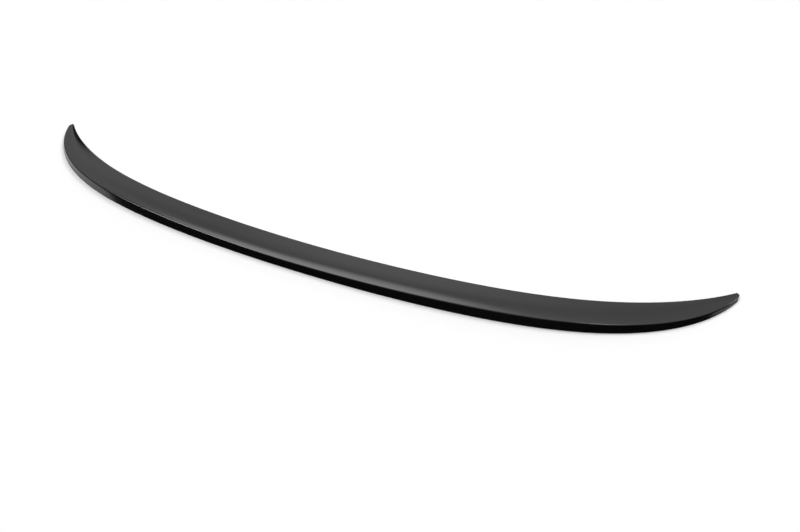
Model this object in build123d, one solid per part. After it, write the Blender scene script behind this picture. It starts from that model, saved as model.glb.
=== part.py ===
from build123d import *
import math
import os

# Car rear lip spoiler: a bow-shaped moulding bonded to the boot lid with strips of foam tape.
# Millimetres and degrees. X runs across the car, -Y is the rear and +Z is up. The spoiler lies on
# its underside, as on a boot lid, and the origin is the middle of its footprint.

# Bow of the rear lip, seen from above
LIP_LENGTH = 1300.0       # along the lip, before its ends are trimmed
MAIN_TURN = 13.6          # even turn of the lip from its middle to one end
CORNER_TURN = 55.6        # further turn of the lip round the corner of the boot lid
CORNER_BEND = 4.86        # power of the corner's turn: a high one bends late
END_TRIM = 15.0           # along the lip, from its end to the end face
END_CANT = 4.25           # lean of the end faces from straight fore and aft, inwards to the rear

# Section across the spoiler
CHORD_MIDDLE = 47.4       # from the lip to the front edge, in the middle
CHORD_TIP = 2.8           # the same at each end of the untrimmed lip
CHORD_TAPER = 7.66        # power of the taper: a high one keeps the chord long and drops it late
LIP_MIDDLE = 10.0         # height of the lip above the boot lid, in the middle
LIP_TIP = 2.0             # the same at each end of the untrimmed lip
LIP_TAPER = 6.25          # power of that taper
SHOULDER_RISE = 1.6       # extra height of the lip halfway to each tip
CURL_MIDDLE = 15.0        # how much steeper the top is at the lip than on average, in the middle
FRONT_EASE = 6.5          # how much flatter the top is at the front edge than on average
TIP_FLICK = 36.0          # further easing of the front edge at each end, where it turns up a little
FLICK_BEND = 12.0         # power of that flick: a high one turns up late
FACE_RAKE = 32.0          # lean of the rear face: its foot stands behind the lip
LIP_RADIUS = 1.4          # rounding of the lip
FRONT_EDGE = 1.8          # thickness of the front edge
FRONT_RADIUS = 0.7        # rounding of the front edge
TIP_ROUND_SIDE = 7.2      # rounding of the end faces' front corners, along the end face
TIP_ROUND_FRONT = 6.4     # the same, along the front edge

# Hollow underside
WALL = 2.6                # skin over the hollow
REAR_LAND = 11.0          # solid foot along the rear
FRONT_LAND = 20.0         # solid edge along the front
HOLLOW_END = 118.0        # from each end of the lip to the hollow
RIB_THICKNESS = 1.8
RIB_PITCH = 66.0          # between cross ribs, along the lip
RIB_RECESS = 0.8          # from the rim up to the ribs' lower edges

# Foam tape
TAPE_THICKNESS = 1.1
TAPE_PROUD = 0.4          # how far the tape stands out below the rim
FRONT_TAPE_WIDTH = 10.0
FRONT_TAPE_MARGIN = 3.0   # from the front edge
REAR_TAPE_WIDTH = 7.0
REAR_TAPE_MARGIN = 2.0    # from the foot of the rear face
TAPE_END = 94.0           # from each end of the lip to the tape
TAPE_GAP = 8.0            # between two strips
STRIPS = 5                # strips in a row
TAPE_SEAT_CLEARANCE = 0.3 # round each strip, in its shallow seat

# Worked out from those
HALF = LIP_LENGTH / 2
RIM = TAPE_PROUD          # underside of the moulding, above the boot lid
SEAT = TAPE_THICKNESS     # ceiling of the seats for the tape
STEPS_PER_MM = 2          # steps in adding up the bow
STATIONS = 31             # sections along the whole bow
STRIP_STATIONS = 6        # points along each edge of a strip of tape
HALVINGS = 40             # steps in finding where the front edge meets an end face


def spread(first, last, count):
    """Evenly spaced values from first to last."""
    return [first + (last - first) * i / (count - 1) for i in range(count)]


def stations(reach):
    """Distances along the bow from -reach to reach, closer together towards both ends."""
    return [reach * (3 * t - t**3) / 2 for t in spread(-1, 1, STATIONS)]


def turn(s):
    """Direction of the lip at distance s from its middle, in radians from +X."""
    share = abs(s) / HALF
    degrees = MAIN_TURN * share + CORNER_TURN * share**CORNER_BEND
    return math.copysign(math.radians(degrees), s)


def lip_point(s):
    """Place of the lip at distance s from its middle, from adding up its direction."""
    steps = max(1, round(abs(s) * STEPS_PER_MM))
    step = s / steps
    middles = [turn(step * (i + 0.5)) for i in range(steps)]
    return Vector(step * sum(map(math.cos, middles)), step * sum(map(math.sin, middles)))


def section_plane(s):
    """Upright plane across the bow at s: its x runs forward from the lip, its y is up."""
    angle = turn(s)
    forward = Vector(-math.sin(angle), math.cos(angle))
    return Plane(lip_point(s), x_dir=forward, z_dir=Vector(math.cos(angle), math.sin(angle)))


def chord(s):
    """Distance from the lip to the front edge."""
    return CHORD_TIP + (CHORD_MIDDLE - CHORD_TIP) * (1 - abs(s / HALF) ** CHORD_TAPER)


def lip_height(s):
    """Height of the lip above the boot lid."""
    share = abs(s / HALF)
    shoulder = (4 * share * (1 - share)) ** 2
    return LIP_TIP + (LIP_MIDDLE - LIP_TIP) * (1 - share**LIP_TAPER) + SHOULDER_RISE * shoulder


def foot(s):
    """How far the foot of the rear face stands behind the lip."""
    return (lip_height(s) - RIM) * math.tan(math.radians(FACE_RAKE))


def top_curve(s):
    """Control points of the top, from the front edge to the lip, evenly spaced across the chord."""
    front = Vector(chord(s), RIM + FRONT_EDGE)
    lip = Vector(0, lip_height(s))
    third = chord(s) / 3
    slope = math.atan2(lip.Y - front.Y, chord(s))
    fade = 1 - (s / HALF) ** 2
    curl = CURL_MIDDLE * fade
    ease = FRONT_EASE * fade + TIP_FLICK * abs(s / HALF) ** FLICK_BEND
    after_front = front + Vector(-third, third * math.tan(slope - math.radians(ease)))
    before_lip = lip + Vector(third, -third * math.tan(slope + math.radians(curl)))
    return front, after_front, before_lip, lip


def top_height(s, u):
    """Height of the top at distance u forward of the lip."""
    t = 1 - u / chord(s)
    heights = [point.Y for point in top_curve(s)]
    weights = [(1 - t) ** 3, 3 * t * (1 - t) ** 2, 3 * t**2 * (1 - t), t**3]
    return sum(w * h for w, h in zip(weights, heights))


def outer_section(s):
    """Closed outline of the spoiler at s, with its lip and front edge rounded."""
    top = Bezier(*top_curve(s))
    foot_point = Vector(-foot(s), RIM)
    front_point = Vector(chord(s), RIM)
    outline = [
        top,
        Line(top @ 1, foot_point),
        Line(foot_point, front_point),
        Line(front_point, top @ 0),
    ]
    face = make_face(outline)
    for corner, radius in ((top @ 1, LIP_RADIUS), (top @ 0, FRONT_RADIUS)):
        face = fillet(face.vertices().sort_by_distance(corner)[0], radius)
    return section_plane(s) * face


def front_point(s):
    """Place of the front edge at s, seen from above."""
    return section_plane(s).from_local_coords((chord(s), 0))


def end_plane(side):
    """Upright plane of one end face: its x runs forward and its z outwards."""
    cant = math.radians(END_CANT)
    forward = Vector(side * math.sin(cant), math.cos(cant))
    outward = Vector(side * math.cos(cant), -math.sin(cant))
    return Plane(lip_point(side * (HALF - END_TRIM)), x_dir=forward, z_dir=outward)


def front_corner():
    """Distance along the bow at which the front edge meets the end face, found by halving."""
    plane = end_plane(1)
    inside, outside = HALF - 2 * END_TRIM, HALF
    for _ in range(HALVINGS):
        middle = (inside + outside) / 2
        if plane.to_local_coords(front_point(middle)).Z < 0:
            inside = middle
        else:
            outside = middle
    return inside


def end_cut(side):
    """What is cut away beyond one end face and outside its rounded front corner."""
    plane = end_plane(side)
    corner = front_point(side * front_corner())
    start = front_point(side * (front_corner() - TIP_ROUND_FRONT))
    end = corner - plane.x_dir * TIP_ROUND_SIDE
    rear = plane.origin - plane.x_dir * END_TRIM
    outwards = plane.z_dir * END_TRIM
    outline = [
        TangentArc(end, start, tangent=plane.x_dir),
        Polyline(start, corner + outwards + plane.x_dir * 2 * END_TRIM, rear + outwards, rear, end),
    ]
    return extrude(make_face(outline), LIP_MIDDLE, dir=(0, 0, 1))


def hollow_section(s):
    """Outline of the hollow at s, carried on below the rim so that it cuts it open."""
    rear = REAR_LAND - foot(s)
    front = chord(s) - FRONT_LAND
    roof = [Vector(u, top_height(s, u) - WALL) for u in spread(rear, front, 3)]
    outline = [
        Spline(*roof),
        Line(roof[-1], Vector(front, 0)),
        Line(Vector(front, 0), Vector(rear, 0)),
        Line(Vector(rear, 0), roof[0]),
    ]
    return section_plane(s) * make_face(outline)


def rib(s):
    """Slab across the hollow at s, from the ribs' lower edges up into the skin."""
    centre = Pos(chord(s) / 2, RIM + RIB_RECESS + LIP_MIDDLE / 2)
    return extrude(section_plane(s) * centre * Rectangle(chord(s), LIP_MIDDLE), RIB_THICKNESS / 2, both=True)


def front_tape_edges(s):
    """Rear and front edges of the front tape at s, forward of the lip."""
    outer = chord(s) - FRONT_TAPE_MARGIN
    return outer - FRONT_TAPE_WIDTH, outer


def rear_tape_edges(s):
    """Rear and front edges of the rear tape at s, forward of the lip."""
    outer = REAR_TAPE_MARGIN - foot(s)
    return outer, outer + REAR_TAPE_WIDTH


def strips(edges, clearance=0.0):
    """One row of flat strips up to the tape's seat, each grown all round by the clearance."""
    reach = HALF - TAPE_END
    length = (2 * reach - (STRIPS - 1) * TAPE_GAP) / STRIPS
    row = []
    for i in range(STRIPS):
        start = -reach + i * (length + TAPE_GAP)
        along = spread(start - clearance, start + length + clearance, STRIP_STATIONS)
        rear = [section_plane(s).from_local_coords((edges(s)[0] - clearance, 0)) for s in along]
        front = [section_plane(s).from_local_coords((edges(s)[1] + clearance, 0)) for s in along]
        outline = [
            Spline(*rear),
            Line(rear[-1], front[-1]),
            Spline(*reversed(front)),
            Line(front[0], rear[0]),
        ]
        row.append(extrude(make_face(outline), SEAT, dir=(0, 0, 1)))
    return row


def lip_moulding():
    """The moulded spoiler: outer form, less the hollow between its ribs and the seats for the tape."""
    moulding = loft([outer_section(s) for s in stations(HALF)])
    moulding -= [end_cut(side) for side in (-1, 1)]
    reach = HALF - HOLLOW_END
    hollow = loft([hollow_section(s) for s in stations(reach)])
    ribs_each_side = int((reach - RIB_PITCH / 2) // RIB_PITCH)
    hollow -= [rib(i * RIB_PITCH) for i in range(-ribs_each_side, ribs_each_side + 1)]
    moulding -= hollow
    for edges in (front_tape_edges, rear_tape_edges):
        moulding -= strips(edges, TAPE_SEAT_CLEARANCE)
    return moulding


nodes = {
    "lip_moulding": lip_moulding(),
    "front_tape": Compound(children=strips(front_tape_edges)),
    "rear_tape": Compound(children=strips(rear_tape_edges)),
}
box = nodes["lip_moulding"].bounding_box()
to_origin = Pos(0, -box.center().Y, 0)
os.makedirs("parts", exist_ok=True)
for name, solid in nodes.items():
    export_step(to_origin * solid, f"parts/{name}.step")
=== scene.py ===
# %% [markdown]
# # A gloss-black rear lip spoiler
# A lip spoiler is one slim moulding that is bonded along the rear edge of a boot lid. It is all
# surface: a thin front edge, a hollowed top that curls up to a crisp lip, and a raked face below
# the lip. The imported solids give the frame. On gloss black every facet of a tessellated solid
# shows, so this script works the same surfaces out again on a finer grid, and gives them their
# finish.

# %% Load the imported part
import math
import bpy
import numpy as np
from mathutils import Matrix, Vector


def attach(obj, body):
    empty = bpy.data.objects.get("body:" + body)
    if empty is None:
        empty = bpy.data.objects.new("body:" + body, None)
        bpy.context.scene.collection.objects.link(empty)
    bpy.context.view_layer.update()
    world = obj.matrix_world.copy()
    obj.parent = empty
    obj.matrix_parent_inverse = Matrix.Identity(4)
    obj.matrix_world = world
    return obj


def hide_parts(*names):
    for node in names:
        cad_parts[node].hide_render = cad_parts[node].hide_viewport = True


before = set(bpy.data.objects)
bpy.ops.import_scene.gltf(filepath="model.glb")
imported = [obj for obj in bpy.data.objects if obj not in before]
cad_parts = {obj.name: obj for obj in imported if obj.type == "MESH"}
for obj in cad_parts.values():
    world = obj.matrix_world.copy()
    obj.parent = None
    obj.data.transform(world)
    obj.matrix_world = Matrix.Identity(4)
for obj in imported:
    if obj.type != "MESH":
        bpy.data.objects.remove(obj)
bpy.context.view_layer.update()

scene = bpy.context.scene

# %% [markdown]
# ## Sizes
# These are the sizes of the part's own source, in millimetres and degrees, so that the fine
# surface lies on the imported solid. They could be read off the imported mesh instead, but a mesh has
# no radii or tapers.

# %% Sizes of the moulding
LIP_LENGTH, MAIN_TURN, CORNER_TURN, CORNER_BEND = 1300.0, 13.6, 55.6, 4.86
CHORD_MIDDLE, CHORD_TIP, CHORD_TAPER = 47.4, 2.8, 7.66
LIP_MIDDLE, LIP_TIP, LIP_TAPER, SHOULDER_RISE = 10.0, 2.0, 6.25, 1.6
CURL_MIDDLE, FRONT_EASE, TIP_FLICK, FLICK_BEND = 15.0, 6.5, 36.0, 12.0
FACE_RAKE = math.radians(32.0)
LIP_RADIUS, FRONT_EDGE, FRONT_RADIUS = 1.4, 1.8, 0.7
END_TRIM, END_CANT, TIP_ROUND_SIDE, TIP_ROUND_FRONT = 15.0, 4.25, 7.2, 6.4
WALL, REAR_LAND, FRONT_LAND, HOLLOW_END = 2.6, 11.0, 20.0, 118.0
RIB_THICKNESS, RIB_PITCH, RIB_RECESS = 1.8, 66.0, 0.8
TAPE_THICKNESS, TAPE_PROUD, TAPE_SEAT_CLEARANCE = 1.1, 0.4, 0.3
FRONT_TAPE_WIDTH, FRONT_TAPE_MARGIN = 10.0, 3.0
REAR_TAPE_WIDTH, REAR_TAPE_MARGIN = 7.0, 2.0
TAPE_END, TAPE_GAP, STRIPS = 94.0, 8.0, 5
HALF, RIM, SEAT, MM = LIP_LENGTH / 2, TAPE_PROUD, TAPE_THICKNESS, 0.001
print("lip", LIP_LENGTH, "mm long, chord", CHORD_MIDDLE, "mm, lip height", LIP_MIDDLE, "mm")

# %% [markdown]
# ## The bow
# Seen from above, the lip is a bow that is nearly straight behind the boot lid and turns quickly
# round its corners. A drawn curve could be traced by hand. A turning law is shorter and fairer:
# the direction is given as a smooth function of the distance along the lip, and adding it up
# gives the place.

# %% The lip's path
def bow_turn(s):
    """Direction of the lip in radians: an even turn plus a corner turn that is a high power."""
    share = np.abs(s) / HALF
    return np.sign(s) * np.radians(MAIN_TURN * share + CORNER_TURN * share**CORNER_BEND)


PATH_POINTS = 10401  # places at which the direction is added up
PATH_S = np.linspace(-HALF, HALF, PATH_POINTS)
step = PATH_S[1] - PATH_S[0]
middles = bow_turn((PATH_S[1:] + PATH_S[:-1]) / 2)
PATH_X = np.concatenate([[0.0], np.cumsum(np.cos(middles))]) * step
PATH_Y = np.concatenate([[0.0], np.cumsum(np.sin(middles))]) * step
PATH_X -= np.interp(0.0, PATH_S, PATH_X)
PATH_Y -= np.interp(0.0, PATH_S, PATH_Y)


def plan(s, u):
    """Place seen from above: the lip's place at s, plus u along the direction square to the lip."""
    turn = bow_turn(s)
    x = np.interp(s, PATH_S, PATH_X) - u * np.sin(turn)
    y = np.interp(s, PATH_S, PATH_Y) + u * np.cos(turn)
    return x, y


print("the lip's ends lie", round(PATH_Y[-1], 1), "mm forward of its middle")

# %% [markdown]
# ## The section
# Across the bow the top is a cubic curve from the front edge to the lip. Its slope at the lip is
# steeper than on average, which is the curl that catches the light, and the curl fades towards
# the tips. The same section at every station would give an extrusion. Here chord, lip height and
# curl all change along the bow.

# %% Laws of the section
def chord(s):
    """Lip to front edge: long in the middle, falling off late as a high power of the distance."""
    return CHORD_TIP + (CHORD_MIDDLE - CHORD_TIP) * (1 - np.abs(s / HALF) ** CHORD_TAPER)


def lip_height(s):
    """Height of the lip: a late taper like the chord's, plus a low swell halfway to each tip."""
    share = np.abs(s / HALF)
    swell = (4 * share * (1 - share)) ** 2
    return LIP_TIP + (LIP_MIDDLE - LIP_TIP) * (1 - share**LIP_TAPER) + SHOULDER_RISE * swell


def foot(s):
    """How far the foot of the raked face stands behind the lip."""
    return (lip_height(s) - RIM) * math.tan(FACE_RAKE)


def top_curve(s):
    """Heights of the cubic's four control points, front to lip, evenly spaced across the chord."""
    front = np.full_like(s, RIM + FRONT_EDGE)
    lip = lip_height(s)
    third = chord(s) / 3
    slope = np.arctan2(lip - front, chord(s))
    fade = 1 - (s / HALF) ** 2
    ease = FRONT_EASE * fade + TIP_FLICK * np.abs(s / HALF) ** FLICK_BEND
    after_front = front + third * np.tan(slope - np.radians(ease))
    before_lip = lip - third * np.tan(slope + np.radians(CURL_MIDDLE) * fade)
    return front, after_front, before_lip, lip


def top(s, u):
    """Height and slope of the top at u forward of the lip, from the cubic and its derivative."""
    a, b, c, d = top_curve(s)
    t = 1 - u / chord(s)
    height = (1 - t) ** 3 * a + 3 * t * (1 - t) ** 2 * b + 3 * t**2 * (1 - t) * c + t**3 * d
    rate = 3 * ((1 - t) ** 2 * (b - a) + 2 * t * (1 - t) * (c - b) + t**2 * (d - c))
    return height, -rate / chord(s)


middle_slope = math.atan(-top(np.zeros(1), 0.0)[1][0])
print("middle: lip slope", round(math.degrees(middle_slope), 1), "degrees")

# %% [markdown]
# ## The end faces
# Each tip is cut off nearly fore and aft, and the front corner of the cut is rounded. A boolean
# would do it, but it leaves long thin triangles on the gloss. Here each line along the bow simply
# stops where it meets the cut, which is found by halving the distance for all lines at once.

# %% Where the lines along the bow stop
HALVINGS = 50                  # steps in finding where a line meets the cut
SEARCH_REACH = 4 * END_TRIM    # from the bow's end, where the cut's front corner is sought


def end_cut(side):
    """The end plane's origin and outward direction, and its rounded corner's arc from start to end.

    The arc's circle touches the end plane at the end and passes through the start, which lies on
    the front edge."""
    cant = math.radians(END_CANT)
    forward = np.array([side * math.sin(cant), math.cos(cant)])
    outward = np.array([side * math.cos(cant), -math.sin(cant)])
    origin = np.array(plan(np.array(side * (HALF - END_TRIM)), 0.0))
    low, high = HALF - SEARCH_REACH, HALF
    for _ in range(HALVINGS):
        middle = np.array((low + high) / 2)
        inside = (np.array(plan(side * middle, chord(middle))) - origin) @ outward < 0
        low, high = (float(middle), high) if inside else (low, float(middle))
    corner = np.array(plan(np.array(side * low), chord(np.array(low))))
    inboard = np.array(low - TIP_ROUND_FRONT)
    start = np.array(plan(side * inboard, chord(inboard)))
    end = corner - forward * TIP_ROUND_SIDE
    span = start - end
    radius = -(span @ span) / (2 * span @ outward)
    return origin, outward, start, end, end - outward * radius, radius


def past_end(cut, s, u):
    """True where a point lies beyond the end plane, or outside the rounding of its front corner."""
    origin, outward, start, end, centre, radius = cut
    place = np.stack(plan(s, u), -1)
    span = start - end
    square = np.array([span[1], -span[0]]) * np.sign(span[1] * outward[0] - span[0] * outward[1])
    past_round = np.linalg.norm(place - centre, axis=-1) > radius
    return np.where((place - end) @ square > 0, past_round, (place - origin) @ outward > 0)


CUTS = {side: end_cut(side) for side in (-1, 1)}
face_start, face_end, corner_radius = CUTS[1][0], CUTS[1][3], CUTS[1][5]
print("end face from", face_start.round(1), "to", face_end.round(1))
print("corner radius", round(corner_radius, 2), "mm")

# %% [markdown]
# ## The profile, carried round the section
# The closed profile has an outer run, from the foot of the front edge over the top and lip down
# to the foot of the rear face, and a hidden run along the underside. The two roundings are arcs
# written as weighted quadratic curves, because such an arc is exact and needs no angle that
# changes along the bow.

# %% The outer run
LIP_CROWDING = 0.5  # how much the points of the top crowd towards the lip


def arc(p0, p1, p2, weight, w):
    """Weighted quadratic curve from p0 to p2 with corner p1.

    It is a circle's arc where the weight is the cosine of half the turn."""
    blend = ((1 - w) ** 2, 2 * weight * w * (1 - w), w**2)
    total = sum(blend)
    return tuple(sum(b * p[k] for b, p in zip(blend, (p0, p1, p2))) / total for k in (0, 1))


def outer_run(s, row):
    """Forward distance and height of the outer run; row counts along it from the front's foot."""
    w = [np.clip((row - first) / (last - first), 0, 1) for first, last in RUNS]
    front_u = chord(s) - FRONT_RADIUS
    front_z, front_slope = top(s, front_u)
    front_corner = (chord(s), front_z + front_slope * FRONT_RADIUS)
    front = (chord(s), RIM + w[0] * (front_corner[1] - FRONT_RADIUS - RIM))
    turn = math.pi / 2 + np.arctan(front_slope)
    nose_start = (chord(s), front_corner[1] - FRONT_RADIUS)
    nose = arc(nose_start, front_corner, (front_u, front_z), np.cos(turn / 2), w[1])
    lip_slope = np.arctan(-top(s, np.zeros_like(s))[1])
    turn = lip_slope + math.pi / 2 - FACE_RAKE
    lip_u = LIP_RADIUS * np.tan(turn / 2) * np.cos(lip_slope)
    lip_z, slope = top(s, lip_u)
    spread = (1 - LIP_CROWDING) * w[2] + LIP_CROWDING * np.sin(w[2] * math.pi / 2)
    skin_u = front_u + (lip_u - front_u) * spread
    skin = (skin_u, top(s, skin_u)[0])
    rake = math.tan(FACE_RAKE)
    corner_z = (lip_z - slope * lip_u - slope * rake * lip_height(s)) / (1 - slope * rake)
    corner = ((corner_z - lip_height(s)) * rake, corner_z)
    side = np.hypot(lip_u - corner[0], lip_z - corner[1])
    face_u = corner[0] - side * math.sin(FACE_RAKE)
    face_z = corner[1] - side * math.cos(FACE_RAKE)
    turn = np.arctan(-slope) + math.pi / 2 - FACE_RAKE
    lip = arc((lip_u, lip_z), corner, (face_u, face_z), np.cos(turn / 2), w[3])
    face = (face_u + (-foot(s) - face_u) * w[4], face_z + (RIM - face_z) * w[4])
    runs = (front, nose, skin, lip, face)
    part = [row <= last for first, last in RUNS[:-1]]
    return tuple(np.select(part, [run[k] for run in runs[:-1]], runs[-1][k]) for k in (0, 1))


RUN_STEPS = {"front edge": 2, "its rounding": 8, "top": 48, "lip": 14, "rear face": 9}
RUN_ENDS = np.cumsum([0, *RUN_STEPS.values()])
RUNS = list(zip(RUN_ENDS[:-1], RUN_ENDS[1:]))
OUTER_ROWS = np.arange(RUN_ENDS[-1] + 1, dtype=float)
print(len(OUTER_ROWS), "points on the outer run")

# %% [markdown]
# ## The underside
# Nobody sees it on the car, but a moulding like this is hollow under the lip so that the skin
# keeps an even wall, has ribs across the hollow, and has two shallow seats for the foam tape.
# Each is a step in height between two lines along the bow, and each starts and stops at a
# station, so the underside is one more grid.

# %% The hidden run
TAPE_REACH, HOLLOW_REACH = HALF - TAPE_END, HALF - HOLLOW_END
STRIP = (2 * TAPE_REACH - (STRIPS - 1) * TAPE_GAP) / STRIPS
STRIP_STARTS = -TAPE_REACH + np.arange(STRIPS) * (STRIP + TAPE_GAP) - TAPE_SEAT_CLEARANCE
STRIP_ENDS = STRIP_STARTS + STRIP + 2 * TAPE_SEAT_CLEARANCE
RIBS_EACH_SIDE = int((HOLLOW_REACH - RIB_PITCH / 2) // RIB_PITCH)
RIB_PLACES = np.arange(-RIBS_EACH_SIDE, RIBS_EACH_SIDE + 1) * RIB_PITCH
ROOF_ROWS = 11
REAR_SEAT_ROWS, ROOF_START, FRONT_SEAT_ROWS = [2, 3], 6, [-4, -3]  # places in the hidden run
UNDER_ROWS = ROOF_ROWS + 12       # with the twelve points beside the roof
STEPPED_REACH = TAPE_REACH + 1.0  # beyond it the underside is plain


def under_run(s, station):
    """Forward distance and height of the hidden run, from the rear foot to the front edge's foot.

    The station, a shade inside or outside a step's end, says whether the step is there."""
    rear = -foot(s[0])
    seat_rear = rear + REAR_TAPE_MARGIN - TAPE_SEAT_CLEARANCE
    seat_front = seat_rear + REAR_TAPE_WIDTH + 2 * TAPE_SEAT_CLEARANCE
    hollow = np.linspace(rear + REAR_LAND, chord(s[0]) - FRONT_LAND, ROOF_ROWS)
    tape_front = chord(s[0]) - FRONT_TAPE_MARGIN + TAPE_SEAT_CLEARANCE
    tape_rear = tape_front - FRONT_TAPE_WIDTH - 2 * TAPE_SEAT_CLEARANCE
    lines = [rear, *[seat_rear] * 2, *[seat_front] * 2, hollow[0], *hollow, hollow[-1],
             *[tape_rear] * 2, *[tape_front] * 2, chord(s[0])]
    u = np.stack(lines)
    after_start, before_end = station > STRIP_STARTS[:, None], station < STRIP_ENDS[:, None]
    on_strip = (after_start & before_end).any(0)
    in_hollow = np.abs(station) < HOLLOW_REACH
    in_rib = (np.abs(station[None] - RIB_PLACES[:, None]) < RIB_THICKNESS / 2).any(0)
    roof = top(s[0], hollow)[0] - WALL
    roof = np.where(in_rib, np.minimum(roof, RIM + RIB_RECESS), roof)
    z = np.full_like(u, RIM)
    z[REAR_SEAT_ROWS] = z[FRONT_SEAT_ROWS] = np.where(on_strip, SEAT, RIM)
    z[ROOF_START : ROOF_START + ROOF_ROWS] = np.where(in_hollow, roof, RIM)
    plain = -foot(s) + (chord(s) + foot(s)) * np.linspace(0, 1, len(u))[:, None]
    return np.where(np.abs(station) < STEPPED_REACH, u, plain), z


print(UNDER_ROWS, "points on the hidden run,", len(RIB_PLACES), "ribs,", STRIPS, "strips in a row")

# %% [markdown]
# ## Stations along the bow
# Stations lie closer together round the corners, where the bow turns fast, and on each end of a
# seat, rib or hollow. The underside gets two columns there, one on each side of the step, which
# makes the step's wall.

# %% Stations
EVEN_STATIONS, GRADING = 401, 0.45  # before the steps are added; how much they crowd to the ends
STEP_CLEARANCE = 0.7                # no other station is nearer to a step
HAIR = 1e-4                         # how far a step's two columns stand from it
BODY_REACH = TAPE_REACH + 6.0       # beyond it the lines run on to the end cut
STEPS = np.unique(np.concatenate([
    STRIP_STARTS, STRIP_ENDS, RIB_PLACES - RIB_THICKNESS / 2, RIB_PLACES + RIB_THICKNESS / 2,
    [-HOLLOW_REACH, HOLLOW_REACH]]))
even = np.linspace(-1, 1, EVEN_STATIONS)
graded = (1 + GRADING) * np.abs(even) - GRADING * np.abs(even) ** 3
even = HALF * np.sign(even) * graded
clear = np.abs(even[:, None] - STEPS[None]).min(1) > STEP_CLEARANCE
STATIONS = np.sort(np.concatenate([even[clear], STEPS]))
UNDER_STATIONS = np.sort(np.concatenate([even[clear], STEPS - HAIR, STEPS + HAIR]))
snap = np.abs(UNDER_STATIONS[:, None] - STEPS[None])
UNDER_PLACES = np.where(snap.min(1) < 2 * HAIR, STEPS[snap.argmin(1)], UNDER_STATIONS)


def stop_at_ends(stations, rows, across):
    """Distance along the bow of every grid point: the station itself along the body, and beyond it
    a share of what is left to the end cut on that row, found by halving."""
    s = np.repeat(stations[None], rows, 0)
    for side in (-1, 1):
        low = np.full((rows, 1), BODY_REACH)
        high = np.full((rows, 1), HALF)
        for _ in range(HALVINGS):
            middle = (low + high) / 2
            beyond = past_end(CUTS[side], side * middle, across(side * middle))
            low, high = np.where(beyond, low, middle), np.where(beyond, middle, high)
        share = (np.abs(stations) - BODY_REACH) / (HALF - BODY_REACH)
        stretched = side * (BODY_REACH + share * (low - BODY_REACH))
        s = np.where(side * stations > BODY_REACH, stretched, s)
    return s


outer_row = OUTER_ROWS[:, None]
outer_s = stop_at_ends(STATIONS, len(OUTER_ROWS), lambda s: outer_run(s, outer_row)[0])
under_share = np.linspace(0, 1, UNDER_ROWS)[:, None]
under_s = stop_at_ends(
    UNDER_PLACES, UNDER_ROWS, lambda s: -foot(s) + (chord(s) + foot(s)) * under_share)
print(len(STATIONS), "stations,", len(UNDER_STATIONS), "columns on the underside")

# %% [markdown]
# ## One closed mesh
# Two grids and two end strips meet along shared lines. Points at the same place are made one, and
# a face that has lost two of its corners that way is dropped, so the shell comes out closed and
# without slivers.

# %% Grids, end strips and welding
WELD_DIGITS = 5  # points that agree to so many digits of a millimetre are made one


def grid_faces(rows, columns, first):
    """Four-cornered faces of a grid of points stored row by row, turned to face outwards."""
    at = first + np.arange(rows * columns).reshape(rows, columns)
    return np.stack([at[:-1, :-1], at[1:, :-1], at[1:, 1:], at[:-1, 1:]], -1).reshape(-1, 4)


def end_strip(outer_column, under_column, flip):
    """Faces between the outer run's end and the hidden run's end, which has fewer points."""
    match = np.round(np.linspace(len(under_column) - 1, 0, len(outer_column))).astype(int)
    below = under_column[match]
    strip = np.stack([outer_column[:-1], outer_column[1:], below[1:], below[:-1]], -1)
    return strip[:, [0, 3, 2, 1]] if flip else strip


outer_u, outer_z = outer_run(outer_s, outer_row)
under_u, under_z = under_run(under_s, UNDER_STATIONS)
points = []
for s, u, z in ((outer_s, outer_u, outer_z), (under_s, under_u, under_z)):
    x, y = plan(s, u)
    points.append(np.stack([x, y, z], -1))
to_origin = -(points[0][..., 1].min() + points[0][..., 1].max()) / 2
outer_at = np.arange(outer_u.size).reshape(outer_u.shape)
under_at = outer_u.size + np.arange(under_u.size).reshape(under_u.shape)
faces = np.concatenate([
    grid_faces(*outer_u.shape, 0),
    grid_faces(*under_u.shape, outer_u.size),
    end_strip(outer_at[:, 0], under_at[:, 0], True),
    end_strip(outer_at[:, -1], under_at[:, -1], False)])
cloud = np.concatenate([p.reshape(-1, 3) for p in points]) + [0.0, to_origin, 0.0]
painted = np.concatenate([np.ones(outer_u.size), np.zeros(under_u.size)])
key, first_of, same = np.unique(
    np.round(cloud, WELD_DIGITS), axis=0, return_index=True, return_inverse=True)
faces = same.reshape(-1)[faces]
paint = np.zeros(len(key))
np.maximum.at(paint, same.reshape(-1), painted)
print(len(cloud), "grid points welded to", len(key), "; Y shift", round(to_origin, 3), "mm")

# %% [markdown]
# A face that kept three corners is a triangle, and one that kept four is left as it is. Where a
# rib meets the hollow's wall, three points lie on one upright line, and a triangle between them
# has no area. Its middle point goes into the next face instead, which closes the shell just as
# well. The `painted` attribute is 1 on the outer skin and 0 below, so that the finish can tell
# gloss from bare moulding.

# %% The moulding's mesh
NO_AREA = 1e-12                  # square metres
SHARP_ANGLE = math.radians(33)   # a steeper bend between two faces is a real edge


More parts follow.
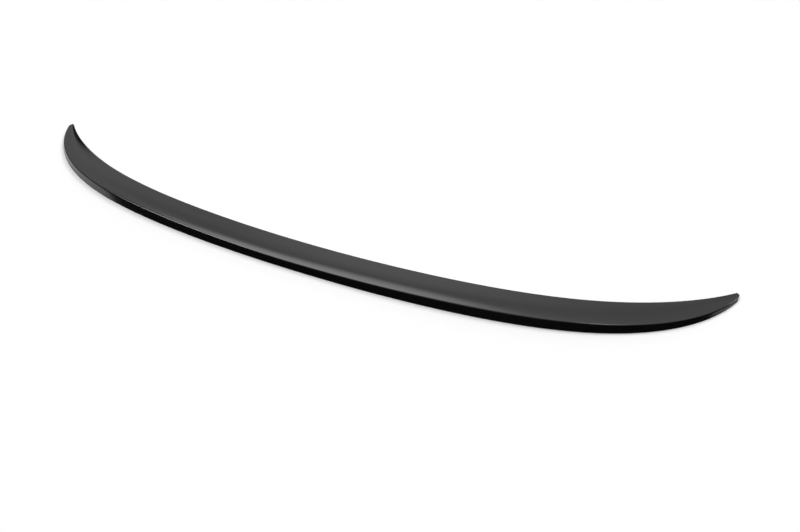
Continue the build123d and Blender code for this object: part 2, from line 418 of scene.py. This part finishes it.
def without_flat(place, triangles, others):
    """All faces but the triangles without area, and how many those are.

    The middle point of each goes into the face across its longest edge, longest first, so that
    every edge still has two faces."""
    corners = place[triangles]
    sides = np.roll(corners, -1, 1) - corners
    lengths = np.linalg.norm(sides, axis=2)
    flat = np.linalg.norm(np.cross(sides[:, 0], sides[:, 1]), axis=1) / 2 < NO_AREA
    kept = others.tolist() + triangles[~flat].tolist()
    owner = {(face[i - 1], face[i]): face for face in kept for i in range(len(face))}
    for number in sorted(np.flatnonzero(flat), key=lambda n: -lengths[n].max()):
        end, start, middle = np.roll(triangles[number], -lengths[number].argmax()).tolist()
        face = owner[start, end]
        after = face.index(end)
        face[:] = [middle, *face[after:], *face[:after]]
        owner[start, middle] = owner[middle, end] = face
    return kept, int(flat.sum())


def mesh_piece(name, place, quads):
    """Mesh object at the origin, smooth but for its real edges, from points in metres."""
    after = np.roll(quads, -1, 1)
    kept = quads != after
    count = kept.sum(1)
    triangles = quads[count == 3][kept[count == 3]].reshape(-1, 3)
    whole = quads[(count == 4) & (quads[:, 0] != quads[:, 2]) & (quads[:, 1] != quads[:, 3])]
    kept_faces, flat = without_flat(place, triangles, whole)
    print(flat, "triangles without area taken up by their neighbours")
    mesh = bpy.data.meshes.new(name)
    mesh.from_pydata(place, [], kept_faces)
    mesh.validate()
    mesh.shade_smooth()
    mesh.set_sharp_from_angle(angle=SHARP_ANGLE)
    piece = bpy.data.objects.new(name, mesh)
    scene.collection.objects.link(piece)
    return piece


moulding = mesh_piece("gloss_lip_moulding", cloud[first_of] * MM, faces)
mask = moulding.data.attributes.new("painted", "FLOAT", "POINT")
mask.data.foreach_set("value", paint.astype(np.float32))
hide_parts("lip_moulding")
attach(moulding, "root")
moulding.data.calc_loop_triangles()
print("moulding:", len(moulding.data.loop_triangles), "triangles")

# %% [markdown]
# ## Finishes: what they share
# Two effects come back in more than one finish. A moulding is never dead flat: its surface has a
# faint swell that bends reflections, and on foam the same swell is coarse. And dust settles on
# whatever faces up. Each is a node group with named sockets, so that every material places it
# with its own values.

# %% Node helpers and the two shared groups
def socket_of(sockets, label):
    """Socket at a number, or with an identifier where several sockets share a name."""
    if isinstance(label, int):
        return sockets[label]
    return next(socket for socket in sockets if label in (socket.identifier, socket.name))


def place_node(tree, kind, inputs=(), **settings):
    """New node with its settings, and its inputs set to a value or linked from an output socket."""
    node = tree.nodes.new(kind)
    for name, value in settings.items():
        setattr(node, name, value)
    for label, value in dict(inputs).items():
        socket = socket_of(node.inputs, label)
        if isinstance(value, bpy.types.NodeSocket):
            tree.links.new(value, socket)
        else:
            socket.default_value = value
    return node


def math_node(tree, operation, *values):
    """Output of a new math node, with values or output sockets on its inputs."""
    inputs = dict(enumerate(values))
    return place_node(tree, "ShaderNodeMath", inputs, operation=operation).outputs[0]


def start_group(name, inputs, outputs):
    """Empty shader node group with float sockets, and its input and output nodes."""
    tree = bpy.data.node_groups.new(name, "ShaderNodeTree")
    for label, value in inputs.items():
        socket = tree.interface.new_socket(label, in_out="INPUT", socket_type="NodeSocketFloat")
        socket.default_value = value
    for label in outputs:
        tree.interface.new_socket(label, in_out="OUTPUT", socket_type="NodeSocketFloat")
    return tree, tree.nodes.new("NodeGroupInput"), tree.nodes.new("NodeGroupOutput")


FINER = 4.7  # the fine noise's scale over the broad one's


def surface_swell():
    """Height: a broad noise plus a share of a finer one, both on object coordinates in metres."""
    sizes = {"Scale": 200.0, "Fine Share": 0.3}
    tree, given, out = start_group("surface_swell", sizes, ["Height", "Tone"])
    place = place_node(tree, "ShaderNodeTexCoord").outputs["Object"]
    broad = place_node(tree, "ShaderNodeTexNoise", {
        "Vector": place, "Scale": given.outputs["Scale"], "Detail": 2.0, "Roughness": 0.5})
    finer = math_node(tree, "MULTIPLY", given.outputs["Scale"], FINER)
    fine = place_node(tree, "ShaderNodeTexNoise", {"Vector": place, "Scale": finer, "Detail": 3.0})
    share = given.outputs["Fine Share"]
    both = math_node(tree, "MULTIPLY_ADD", fine.outputs["Fac"], share, broad.outputs["Fac"])
    tree.links.new(both, out.inputs["Height"])
    tree.links.new(fine.outputs["Fac"], out.inputs["Tone"])
    return tree


FILM_SCALE = 26.0  # of the slow noise that thins the dust


def settled_dust():
    """Masks where the surface faces up: a film from a slow noise, and in it rare grains from the
    middles of a cell pattern."""
    sizes = {"Grain Scale": 900.0, "Grain Size": 0.1}
    tree, given, out = start_group("settled_dust", sizes, ["Grains", "Film"])
    place = place_node(tree, "ShaderNodeTexCoord").outputs["Object"]
    cells = place_node(tree, "ShaderNodeTexVoronoi", {
        "Vector": place, "Scale": given.outputs["Grain Scale"]})
    grain = math_node(tree, "LESS_THAN", cells.outputs["Distance"], given.outputs["Grain Size"])
    patches = place_node(tree, "ShaderNodeTexNoise", {
        "Vector": place, "Scale": FILM_SCALE, "Detail": 4.0})
    thin = place_node(tree, "ShaderNodeMapRange", {
        "Value": patches.outputs["Fac"], "From Min": 0.5, "From Max": 0.75})
    normal = place_node(tree, "ShaderNodeNewGeometry").outputs["Normal"]
    facing = place_node(tree, "ShaderNodeSeparateXYZ", {0: normal})
    up = place_node(tree, "ShaderNodeMapRange", {
        "Value": facing.outputs["Z"], "From Min": 0.6, "From Max": 0.95})
    film = math_node(tree, "MULTIPLY", thin.outputs[0], up.outputs[0])
    grains = math_node(tree, "MULTIPLY", grain, film)
    tree.links.new(grains, out.inputs["Grains"])
    tree.links.new(film, out.inputs["Film"])
    return tree


GROUPS = {"swell": surface_swell(), "dust": settled_dust()}
print("node groups:", [tree.name for tree in GROUPS.values()])

# %% [markdown]
# ## Gloss black
# The moulding is black all through and has a glassy finish outside. Black plastic is almost
# nothing but reflection: the colour underneath is under one percent, so its look comes from a low
# roughness, the right index of refraction, and a surface that is not quite flat. Below, the bare
# moulding is satin.

# %% The moulding's finish
def new_material(name):
    """Material, its node tree, and the Principled BSDF that the tree starts with."""
    material = bpy.data.materials.new(name)
    material.use_nodes = True
    tree = material.node_tree
    shader = tree.nodes["Principled BSDF"]
    return material, tree, shader


def place_group(tree, key, **values):
    """One of the shared groups, with its inputs set."""
    node = place_node(tree, "ShaderNodeGroup", node_tree=GROUPS[key])
    for name, value in values.items():
        node.inputs[name.replace("_", " ")].default_value = value
    return node


DUST_GREY = (0.055, 0.053, 0.05, 1)
BLACK_LOW, BLACK_HIGH = 0.0030, 0.0042             # the black under the gloss
GLOSSY, DUSTY, SATIN = 0.085, 0.12, 0.46           # roughness: outer skin, under dust, underside
PLASTIC_IOR = 1.5


def gloss_black():
    """Deep black; roughness from the painted mask and the film of dust; normal from the swell."""
    material, tree, shader = new_material("gloss_black")
    swell = place_group(tree, "swell", Scale=95.0, Fine_Share=0.12)
    dust = place_group(tree, "dust", Grain_Scale=620.0, Grain_Size=0.07)
    painted = place_node(tree, "ShaderNodeAttribute", attribute_name="painted")
    tone = place_node(tree, "ShaderNodeMapRange", {
        "Value": swell.outputs["Tone"], "From Min": 0.3, "From Max": 0.7,
        "To Min": BLACK_LOW, "To Max": BLACK_HIGH})
    colour = place_node(tree, "ShaderNodeMix", {
        "Factor_Float": dust.outputs["Grains"], "A_Color": tone.outputs[0], "B_Color": DUST_GREY},
        data_type="RGBA")
    tree.links.new(socket_of(colour.outputs, "Result_Color"), shader.inputs["Base Color"])
    gloss = place_node(tree, "ShaderNodeMapRange", {
        "Value": dust.outputs["Film"], "To Min": GLOSSY, "To Max": DUSTY})
    rough = place_node(tree, "ShaderNodeMapRange", {
        "Value": painted.outputs["Fac"], "To Min": SATIN, "To Max": gloss.outputs[0]})
    tree.links.new(rough.outputs[0], shader.inputs["Roughness"])
    bump = place_node(tree, "ShaderNodeBump", {
        "Height": swell.outputs["Height"], "Strength": 0.02, "Distance": 0.001})
    tree.links.new(bump.outputs["Normal"], shader.inputs["Normal"])
    shader.inputs["IOR"].default_value = PLASTIC_IOR
    return material


moulding.data.materials.append(gloss_black())
print("moulding finish:", moulding.data.materials[0].name)

# %% [markdown]
# ## Foam tape
# The tape is dark closed-cell acrylic foam, seen only from below. Its flat strips are right as
# they were packed, so they stay, and only get their finish: a matt grey with the pits of cut foam
# cells.

# %% The tape's finish
def foam_grey():
    """Matt dark grey, mottled by the fine swell, with cell pits as bump and a little dust."""
    material, tree, shader = new_material("foam_tape")
    swell = place_group(tree, "swell", Scale=900.0, Fine_Share=0.8)
    dust = place_group(tree, "dust", Grain_Scale=1400.0, Grain_Size=0.12)
    ramp = place_node(tree, "ShaderNodeValToRGB", {"Fac": swell.outputs["Tone"]})
    ramp.color_ramp.elements[0].position, ramp.color_ramp.elements[1].position = 0.3, 0.72
    ramp.color_ramp.elements[0].color = (0.030, 0.030, 0.031, 1)
    ramp.color_ramp.elements[1].color = (0.062, 0.062, 0.063, 1)
    tree.links.new(ramp.outputs["Color"], shader.inputs["Base Color"])
    rough = place_node(tree, "ShaderNodeMapRange", {
        "Value": dust.outputs["Film"], "To Min": 0.84, "To Max": 0.95})
    tree.links.new(rough.outputs[0], shader.inputs["Roughness"])
    bump = place_node(tree, "ShaderNodeBump", {
        "Height": swell.outputs["Height"], "Strength": 0.6, "Distance": 0.0002})
    tree.links.new(bump.outputs["Normal"], shader.inputs["Normal"])
    return material


foam = foam_grey()
for node in ("front_tape", "rear_tape"):
    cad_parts[node].data.materials.clear()
    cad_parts[node].data.materials.append(foam)
print("tape finish:", foam.name)

# %% [markdown]
# ## Floor
# The spoiler lies on a plain white sweep. The floor is white in its own colour, and a little
# white of its own is added for what the camera sees, directly or mirrored, so that it fills the
# picture evenly. Shadow still falls on it, because most of its white is reflected light.

# %% White floor
FLOOR_REACH = 30.0      # metres each way
FLOOR_WHITE = 0.92      # its colour
FLOOR_OWN_WHITE = 0.07  # what it adds to that by itself
corners = np.array([[-1, -1, 0], [1, -1, 0], [1, 1, 0], [-1, 1, 0]]) * FLOOR_REACH
floor_mesh = bpy.data.meshes.new("floor")
floor_mesh.from_pydata(corners, [], [(0, 1, 2, 3)])
floor = bpy.data.objects.new("floor", floor_mesh)
scene.collection.objects.link(floor)
white, tree, shader = new_material("white_sweep")
shader.inputs["Base Color"].default_value = (FLOOR_WHITE, FLOOR_WHITE, FLOOR_WHITE, 1)
shader.inputs["Roughness"].default_value = 1.0
shader.inputs["Specular IOR Level"].default_value = 0.0
shader.inputs["Emission Color"].default_value = (1, 1, 1, 1)
path = place_node(tree, "ShaderNodeLightPath")
seen = math_node(tree, "MAXIMUM", path.outputs["Is Camera Ray"], path.outputs["Is Glossy Ray"])
seen = math_node(tree, "MAXIMUM", seen, path.outputs["Is Transmission Ray"])
glow = math_node(tree, "MULTIPLY", seen, FLOOR_OWN_WHITE)
tree.links.new(glow, shader.inputs["Emission Strength"])
floor_mesh.materials.append(white)
print("floor", 2 * FLOOR_REACH, "m square")

# %% [markdown]
# ## Light
# Gloss black shows the room, so the room is the light. The top mirrors what stands behind the
# spoiler, the rounded lip mirrors the ceiling, and the rear face mirrors the camera's side. So
# the room is dim but for a soft wall behind, a low panel that the curl of the lip catches, and a
# higher one for the front of the top. A flag, which is what photographers call a dark card,
# shades the left of the wall a little. A small lamp gives the lip its one glint. Two keys stand
# where the gloss hardly mirrors them: they light the floor, and their heights set how wide the
# shadow is. A weak fill on the camera's side keeps the top readable from the front. Lamp objects
# would show as hard shapes in the gloss, so each is a soft round patch of the world itself.

# %% Room of soft panels
ROOM_DIM = 0.03
ROOM = {  # degrees left of straight behind, elevation, full within, gone beyond; then strength
    "wall": (6.6, 38.5, 38.0, 41.3, 0.84),
    "high panel": (25.0, 55.8, 0.5, 27.2, 0.80),
    "low panel": (26.3, 13.7, 0.5, 14.3, 1.19),
    "lamp": (-7.0, 65.0, 1.0, 4.0, 40.0),
    "left key": (60.0, 45.0, 2.0, 11.0, 20.0),
    "right key": (-32.0, 37.0, 2.0, 11.0, 22.0),
    "fill": (180.0, 62.0, 5.0, 55.0, 0.27),
}
FLAG = (42.2, 22.9, 0.5, 10.3, 0.25)  # the same, but the last is the share of light it holds back


def soft_panel(tree, way, left, elevation, core, rim):
    """Round patch of the room: the cosine to its direction, eased from 0 at the rim to 1 at the
    core."""
    left, elevation, core, rim = np.radians([left, elevation, core, rim])
    level = math.cos(elevation)
    aim = (-math.sin(left) * level, math.cos(left) * level, math.sin(elevation))
    cosine = place_node(tree, "ShaderNodeVectorMath", {0: way, 1: aim}, operation="DOT_PRODUCT")
    return place_node(tree, "ShaderNodeMapRange", {
        "Value": cosine.outputs["Value"], "From Min": math.cos(rim), "From Max": math.cos(core)},
        interpolation_type="SMOOTHSTEP").outputs[0]


world = bpy.data.worlds.new("studio")
scene.world = world
world.use_nodes = True
tree = world.node_tree
way = place_node(tree, "ShaderNodeTexCoord").outputs["Generated"]
light = ROOM_DIM
for left, elevation, core, rim, strength in ROOM.values():
    patch = soft_panel(tree, way, left, elevation, core, rim)
    light = math_node(tree, "MULTIPLY_ADD", patch, strength, light)
flag = soft_panel(tree, way, *FLAG[:-1])
passed = math_node(tree, "MULTIPLY_ADD", flag, -FLAG[-1], 1.0)
light = math_node(tree, "MULTIPLY", light, passed)
tree.links.new(light, tree.nodes["Background"].inputs["Strength"])
tree.nodes["Background"].inputs["Color"].default_value = (1, 1, 1, 1)
print("room with", len(ROOM), "soft patches and one flag")

# %% [markdown]
# ## Camera
# The photograph was taken from behind and above, a little to one side, with the camera turned
# slightly about its axis. The place and lens were worked out from the outline: where the front
# edge, lip and foot run.

# %% Camera at the photograph's viewing angle
PICTURE_WIDTH, SENSOR_WIDTH, CLIP_START = 800, 36.0, 0.02  # pixels, millimetres, metres
AZIMUTH, ELEVATION, ROLL = math.radians(31.176), math.radians(47.777), math.radians(-8.0)
DISTANCE, FOCAL_PIXELS = 0.932577, 655.035
AIM = Vector((0.157005, 0.056331 + to_origin * MM, 0.0))
back = Vector((math.sin(AZIMUTH) * math.cos(ELEVATION), -math.cos(AZIMUTH) * math.cos(ELEVATION),
               math.sin(ELEVATION)))
level = Vector((0, 0, 1)).cross(back).normalized()
rise = back.cross(level)
right = level * math.cos(ROLL) + rise * math.sin(ROLL)
upright = rise * math.cos(ROLL) - level * math.sin(ROLL)
lens = bpy.data.cameras.new("photo_camera")
lens.sensor_fit, lens.sensor_width, lens.clip_start = "HORIZONTAL", SENSOR_WIDTH, CLIP_START
lens.lens = FOCAL_PIXELS / PICTURE_WIDTH * SENSOR_WIDTH
camera = bpy.data.objects.new("photo_camera", lens)
turned = Matrix((right, upright, back)).transposed().to_4x4()
camera.matrix_world = Matrix.Translation(AIM + back * DISTANCE) @ turned
scene.collection.objects.link(camera)
scene.camera = camera
scene.view_settings.view_transform = "Standard"
seat = tuple(round(v, 3) for v in camera.matrix_world.translation)
print("camera at", seat, "lens", round(lens.lens, 1), "mm")
